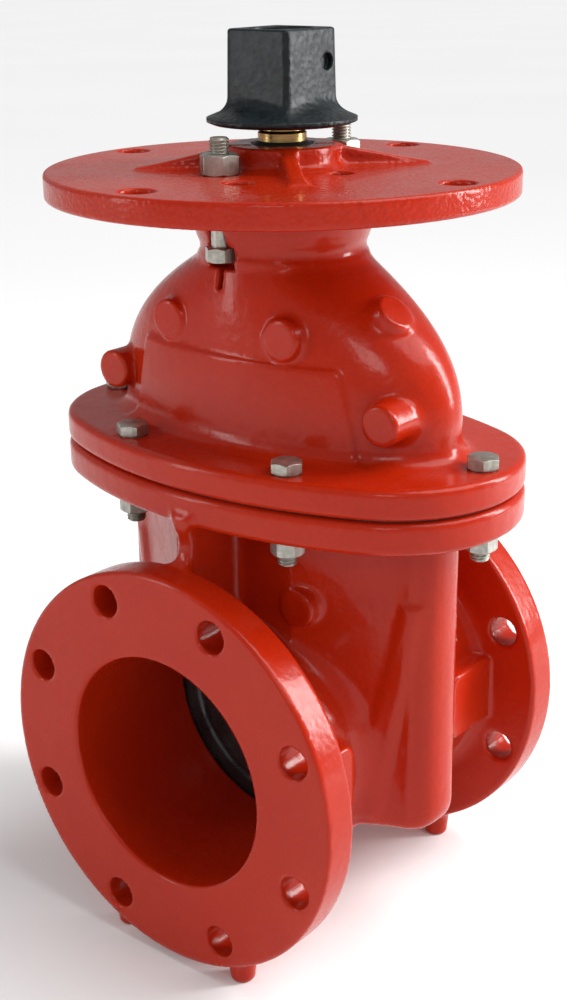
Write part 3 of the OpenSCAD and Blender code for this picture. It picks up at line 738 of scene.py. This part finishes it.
def epoxy(name, peel=0.16, pebble=0.0, rough=0.2):
    """Glossy orange-red epoxy over cast iron: a soft orange peel, with the iron's grain under
    it and a few thin or dusty spots."""
    m = Nodes(name, Coat_Weight=0.12, Coat_Roughness=0.05, IOR=1.5,
              Specular_IOR_Level=0.18)
    cloud = m.ramp(m.noise(9, 4, 0.6), 0.35, 0.7, 0, 1)
    grain = m.ramp(m.noise(420, 2, 0.6), 0.4, 0.75, 0, 1)
    base = m.mix(cloud, srgb(168, 32, 6), srgb(176, 39, 10))
    base = m.mix(m.math("MULTIPLY", grain, 0.35), base, srgb(140, 22, 3))
    m.out("Base Color", base)
    sheen = m.ramp(m.noise(38, 4, 0.65), 0.3, 0.75, rough - 0.04, rough + 0.1)
    m.out("Roughness", m.math("ADD", sheen, m.math("MULTIPLY", grain, 0.06)))
    layers = [(m.noise(110, 2, 0.4), peel * 2.4), (m.noise(300, 2, 0.5), peel * 0.8)]
    if pebble:
        layers.append((m.cells(330, "SMOOTH_F1", 0.8), pebble))
    m.bump(layers)
    return m.material


def zinc(name, tint=(158, 155, 146)):
    """Zinc plating: mottled grey with darker streaks."""
    m = Nodes(name, Metallic=0.85, IOR=1.6)
    spots = m.ramp(m.noise(260, 4, 0.7), 0.35, 0.7, 0, 1)
    streak = m.ramp(m.noise(120, 3, 0.6, stretch=(1, 1, 0.15)), 0.4, 0.7, 0, 1)
    base = m.mix(spots, srgb(*tint), srgb(196, 192, 182))
    base = m.mix(m.math("MULTIPLY", streak, 0.5), base, srgb(112, 108, 98))
    m.out("Base Color", base)
    m.out("Roughness", m.ramp(m.noise(330, 3, 0.6), 0.3, 0.7, 0.28, 0.5))
    m.bump([(m.noise(900, 2, 0.5), 0.03), (m.noise(160, 3, 0.5, stretch=(1, 1, 0.2)), 0.04)])
    return m.material


def hammered(name):
    """Black paint over a rough sand casting."""
    m = Nodes(name, Coat_Weight=0.1, Coat_Roughness=0.2, Specular_IOR_Level=0.2)
    cloud = m.ramp(m.noise(60, 3, 0.6), 0.35, 0.7, 0, 1)
    m.out("Base Color", m.mix(cloud, srgb(12, 18, 20), srgb(26, 34, 37)))
    m.out("Roughness", m.ramp(m.noise(180, 3, 0.6), 0.3, 0.7, 0.32, 0.55))
    m.bump([(m.cells(260, "SMOOTH_F1", 0.7), 0.7), (m.noise(700, 3, 0.6), 0.15)])
    return m.material


def brass(name, tint=(176, 148, 96)):
    """Turned bronze with fine tool marks round the axis and some tarnish."""
    m = Nodes(name, Metallic=1.0)
    tarnish = m.ramp(m.noise(55, 4, 0.65), 0.35, 0.75, 0, 1)
    m.out("Base Color", m.mix(tarnish, srgb(*tint), srgb(132, 104, 66)))
    lines = m.noise(240, 2, 0.5, stretch=(0.15, 0.15, 6))
    m.out("Roughness", m.ramp(lines, 0.3, 0.7, 0.2, 0.38))
    m.bump([(lines, 0.05)])
    return m.material


def iron(name):
    """Bare grey iron casting with a sandy skin."""
    m = Nodes(name, Metallic=0.55)
    cloud = m.ramp(m.noise(45, 4, 0.6), 0.3, 0.7, 0, 1)
    m.out("Base Color", m.mix(cloud, srgb(84, 82, 80), srgb(112, 108, 104)))
    m.out("Roughness", m.ramp(m.noise(220, 3, 0.6), 0.3, 0.7, 0.45, 0.68))
    m.bump([(m.noise(380, 4, 0.6), 0.3)])
    return m.material


def rubber(name, tint=(26, 28, 29), gloss=0.42):
    """Moulded rubber: nearly black, with a faint bloom."""
    m = Nodes(name, IOR=1.52)
    bloom = m.ramp(m.noise(42, 4, 0.6), 0.4, 0.75, 0, 1)
    m.out("Base Color", m.mix(bloom, srgb(*tint), srgb(44, 46, 47)))
    m.out("Roughness", m.ramp(m.noise(160, 3, 0.6), 0.3, 0.7, gloss - 0.08, gloss + 0.1))
    m.bump([(m.noise(500, 3, 0.5), 0.04)])
    return m.material


def plastic(name):
    """Slippery pale plastic of the guide caps."""
    m = Nodes(name, IOR=1.5, Subsurface_Weight=0.1)
    cloud = m.ramp(m.noise(30, 3, 0.5), 0.3, 0.7, 0, 1)
    m.out("Base Color", m.mix(cloud, srgb(214, 210, 196), srgb(228, 225, 214)))
    m.out("Roughness", m.ramp(m.noise(140, 2, 0.5), 0.3, 0.7, 0.36, 0.48))
    m.bump([(m.noise(300, 2, 0.5), 0.05)])
    return m.material


def paint(obj, material):
    obj.data.materials.clear()
    obj.data.materials.append(material)


def kept(node, material):
    """Gives a CAD node its material and leaves its mesh as it is."""
    obj = frame["nodes"][node]
    if not obj.material_slots:
        obj.data.materials.append(material)
    for slot in obj.material_slots:
        slot.material = material


paint(case, epoxy("case_epoxy"))
paint(bonnet, epoxy("bonnet_epoxy"))
paint(plate, epoxy("plate_epoxy", pebble=0.35))
paint(nut, hammered("black_hammered"))
paint(skin, rubber("wedge_rubber_black", gloss=0.3))
objects = bpy.data.objects
paint(objects["joint_bolts"], zinc("zinc_bolt"))
paint(objects["joint_nuts"], zinc("zinc_nut", (150, 150, 146)))
paint(objects["box_bolts"], zinc("zinc_stud"))
paint(objects["box_nuts"], zinc("zinc_heavy_nut", (164, 160, 150)))
paint(objects["top_screw"], zinc("zinc_screw"))
kept("hold_down_washer", zinc("zinc_washer"))
kept("bonnet_gasket", rubber("gasket_black", (22, 22, 22), 0.6))
kept("stuffing_box_seal", rubber("seal_black"))
kept("stem_o_rings", rubber("o_ring_black"))
kept("dirt_seal", rubber("dirt_seal_black", (30, 30, 30), 0.5))
kept("thrust_washer_lower", brass("washer_bronze_lower"))
kept("thrust_washer_upper", brass("washer_bronze_upper"))
kept("stem", brass("stem_brass"))
kept("stem_nut", brass("stem_nut_bronze", (160, 128, 76)))
kept("wedge_core", iron("wedge_iron_bare"))
kept("guide_cap_left", plastic("cap_plastic_left"))
kept("guide_cap_right", plastic("cap_plastic_right"))


# ---- Floor, light and camera ------------------------------------------------------------

def floor():
    mesh = bpy.data.meshes.new("floor")
    half = 80.0
    mesh.from_pydata([(-half, -half, 0), (half, -half, 0), (half, half, 0), (-half, half, 0)],
                     [], [(0, 1, 2, 3)])
    obj = bpy.data.objects.new("floor", mesh)
    bpy.context.scene.collection.objects.link(obj)
    m = Nodes("floor_white", Roughness=0.9, Specular_IOR_Level=0.1)
    shade = m.ramp(m.noise(0.8, 2, 0.5), 0.3, 0.7, 0, 1)
    m.out("Base Color", m.mix(shade, (0.88, 0.88, 0.88), (0.9, 0.9, 0.9)))
    obj.data.materials.append(m.material)


def softbox(name, place, target, size, watts, colour=(1, 1, 1)):
    data = bpy.data.lights.new(name, "AREA")
    data.shape = "RECTANGLE"
    data.size, data.size_y = size
    data.energy = watts
    data.color = colour
    obj = bpy.data.objects.new(name, data)
    bpy.context.scene.collection.objects.link(obj)
    obj.location = place
    obj.rotation_euler = (Vector(target) - Vector(place)).to_track_quat("-Z", "Y").to_euler()


def camera():
    """Camera at the photograph's angle: turned, raised and rolled about the valve."""
    turn, rise, roll = (math.radians(a) for a in (-50.54, 19.83, -0.70))
    back = Vector((math.sin(turn) * math.cos(rise), -math.cos(turn) * math.cos(rise),
                   math.sin(rise)))
    right = Vector((math.cos(turn), math.sin(turn), 0))
    up = back.cross(right)
    right, up = (math.cos(roll) * right + math.sin(roll) * up,
                 math.cos(roll) * up - math.sin(roll) * right)
    data = bpy.data.cameras.new("camera")
    data.sensor_width = 36
    data.lens = 55.27
    data.clip_start = 0.05
    obj = bpy.data.objects.new("camera", data)
    bpy.context.scene.collection.objects.link(obj)
    rotation = Matrix((right, up, back)).transposed()
    obj.matrix_world = Matrix.Translation((-0.77107, -0.63209, 0.65880)) @ rotation.to_4x4()
    bpy.context.scene.camera = obj


def sun(name, direction, strength, degrees):
    """A far light that reaches the whole floor evenly; direction points towards it."""
    data = bpy.data.lights.new(name, "SUN")
    data.energy = strength
    data.angle = math.radians(degrees)
    obj = bpy.data.objects.new(name, data)
    bpy.context.scene.collection.objects.link(obj)
    obj.rotation_euler = Vector(direction).to_track_quat("Z", "Y").to_euler()


floor()
middle = (0, 0, 0.3)
sun("room_light", (0.3, -0.55, 1.0), 2.3, 50)
softbox("right_softbox", (1.25, -1.25, 0.95), middle, (0.35, 1.3), 36)
softbox("left_softbox", (-1.5, 1.2, 0.9), middle, (0.3, 1.2), 8)
softbox("front_softbox", (-1.9, -1.2, 1.5), middle, (0.6, 0.6), 7)
world = bpy.data.worlds.new("white_room")
world.use_nodes = True
world.node_tree.nodes["Background"].inputs["Color"].default_value = (1, 1, 1, 1)
world.node_tree.nodes["Background"].inputs["Strength"].default_value = 0.4
bpy.context.scene.world = world
bpy.context.scene.view_settings.view_transform = "Standard"
camera()
